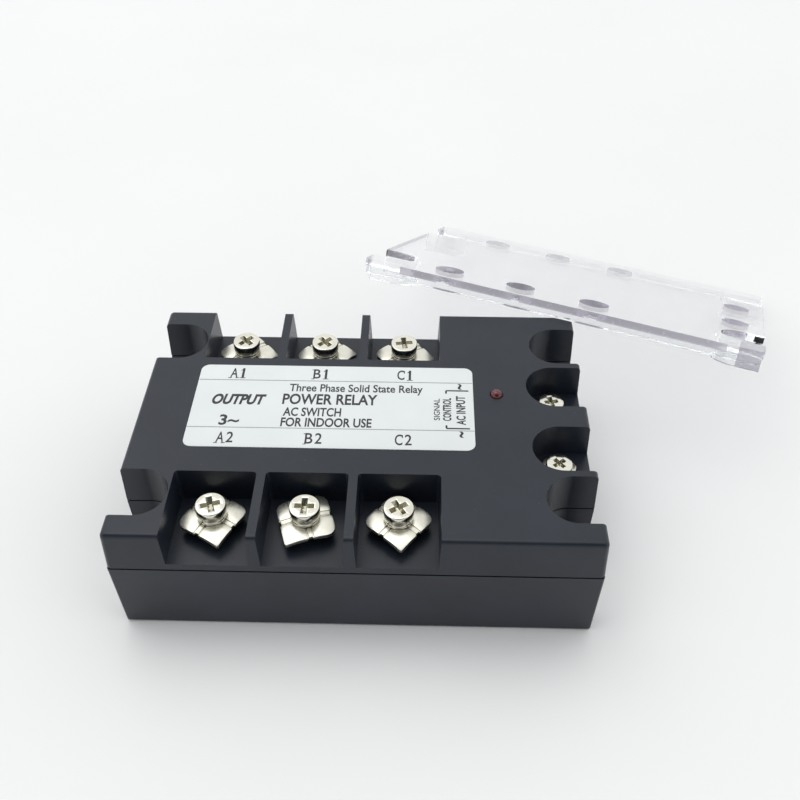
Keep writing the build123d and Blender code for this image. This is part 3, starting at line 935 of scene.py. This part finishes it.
def buildGuard():
    g, h = guard, housing
    bm = box(g["length"], g["width"], g["thickness"], z=-g["thickness"])
    bevelEdges(bm, uprightEdges(bm), g["corner"], 6)
    closeUp(bm)
    piece = meshFrom(bm, "clearGuard")
    added = []
    for side in rows.values():
        y = side * (g["width"] - g["flange"]) / 2
        added.append(box(g["length"] - 2, g["flange"], g["flangeDepth"], 0, y, -g["flangeDepth"]))
    for sideX, sideY in corners:
        x, y = sideX * h["notchX"], sideY * h["notchY"]
        reach = g["length"] / 2 - h["notchX"]
        depth = g["skirtDepth"] - 0.4
        added.append(roundPost(g["skirtOuter"], depth, x, y, -g["skirtDepth"], 64))
        added.append(box(reach, 2 * g["skirtOuter"], depth, x + sideX * reach / 2, y, -g["skirtDepth"]))
    joinWith(piece, added)
    cutters = [box(10, g["width"] + 10, 20, sideX * (g["length"] / 2 + 5), 0, -10) for sideX in (-1, 1)]
    cutters += notchCutters(g["skirtInner"], -g["skirtDepth"] - 1, 1)
    for x in phases.values():
        for side in rows.values():
            cutters.append(roundPost(g["hole"], 9, x, side * g["holeY"], -5))
    for side in rows.values():
        x = nodeMiddle("screw_in1").x
        cutters.append(roundPost(g["controlHole"], 9, x, side * h["wellY"], -5))
    cutWith(piece, cutters)
    softenEdges(piece, g["edge"], 2)
    bm = bmesh.new()
    bm.from_mesh(piece.data)
    # the cut walls of the holes and of the front edge carry a painted grey shade for the light seen through
    # the plate's thickness, so those faces are parted off
    for value in [v for band in g["edgeShadeBands"] for v in band]:
        partFront(bm, (value, 0, 0), (1, 0, 0))
    partFront(bm, (0, 0, g["edgeShadeLow"]), (0, 0, 1))
    bm.to_mesh(piece.data)
    bm.free()
    finishPiece(piece, materials["clear"], "guard", ["clear_guard"])
    piece.data.materials.append(materials["clearEdgeShade"])
    piece.data.materials.append(materials["clearRimShade"])
    for face in piece.data.polygons:
        face.material_index = wallPaintedShade(face.center / mm, face.normal)
    tilted = turned(g["turn"]) @ turned(g["roll"], "Y") @ turned(g["tilt"], "X")
    piece.data.transform(Matrix.Translation(Vector(g["place"]) * mm) @ tilted)
    smoothFaces(piece, 30)
    return evenShading(piece)


buildGuard()
print("guard built")

studio = {
    "sky": (0.98, 0.992, 1.0), "skyStrength": 1.08, "dim": (0.07, 0.075, 0.085),
    "dimFrom": (0.05, -0.68, 0.73), "dimWidth": (0.72, 0.91),
    "floor": ((0.875, 0.875, 0.87), (0.90, 0.90, 0.895)),
    "lights": {
        "windowLight": ((-0.55, 0.45, 1.5), (1.2, 1.0), 4.0),
        "ceilingLight": ((0.1, -0.1, 1.7), (1.6, 1.6), 4.2),
    },
    "cameraPlace": (0.0127, -0.1562, 0.18265), "cameraTurn": (46.59, 0.08, 1.42), "lens": 42.5,
}


def buildSky():
    # a pale room with a darker side where the lights don't reach, which shows in the gloss
    world = bpy.data.worlds.new("sky")
    bpy.context.scene.world = world
    world.use_nodes = True
    tree = world.node_tree
    direction = addNode(tree, "ShaderNodeTexCoord")
    toward = addNode(tree, "ShaderNodeVectorMath", operation="DOT_PRODUCT")
    toward.inputs[1].default_value = Vector(studio["dimFrom"]).normalized()
    tree.links.new(direction.outputs["Generated"], toward.inputs[0])
    edge, middle = studio["dimWidth"]
    colour = ramp(tree, toward.outputs["Value"], [(edge, studio["sky"]), (middle, studio["dim"])])
    tree.links.new(colour, tree.nodes["Background"].inputs["Color"])
    tree.nodes["Background"].inputs["Strength"].default_value = studio["skyStrength"]


def buildStudio():
    bm = bmesh.new()
    bmesh.ops.create_grid(bm, x_segments=1, y_segments=1, size=4.0)
    floor = meshFrom(bm, "floor")
    floor.data.materials.append(mottled("floorPaper", *studio["floor"], (0.55, 0.7), 8.0, 400.0))
    for name, (spot, size, power) in studio["lights"].items():
        light = bpy.data.lights.new(name, "AREA")
        light.shape = "RECTANGLE"
        light.size, light.size_y = size
        light.energy = power
        holder = bpy.data.objects.new(name, light)
        holder.location = spot
        holder.rotation_euler = (-Vector(spot)).to_track_quat("-Z", "Y").to_euler()
        bpy.context.scene.collection.objects.link(holder)


def buildCamera():
    data = bpy.data.cameras.new("camera")
    data.sensor_width = 36.0
    data.lens = studio["lens"]
    data.clip_start = 0.01
    camera = bpy.data.objects.new("camera", data)
    camera.location = studio["cameraPlace"]
    camera.rotation_euler = Euler([math.radians(a) for a in studio["cameraTurn"]], "XYZ")
    bpy.context.scene.collection.objects.link(camera)
    bpy.context.scene.camera = camera


buildSky()
buildStudio()
buildCamera()
bpy.context.scene.view_settings.view_transform = "Standard"
print("studio ready")
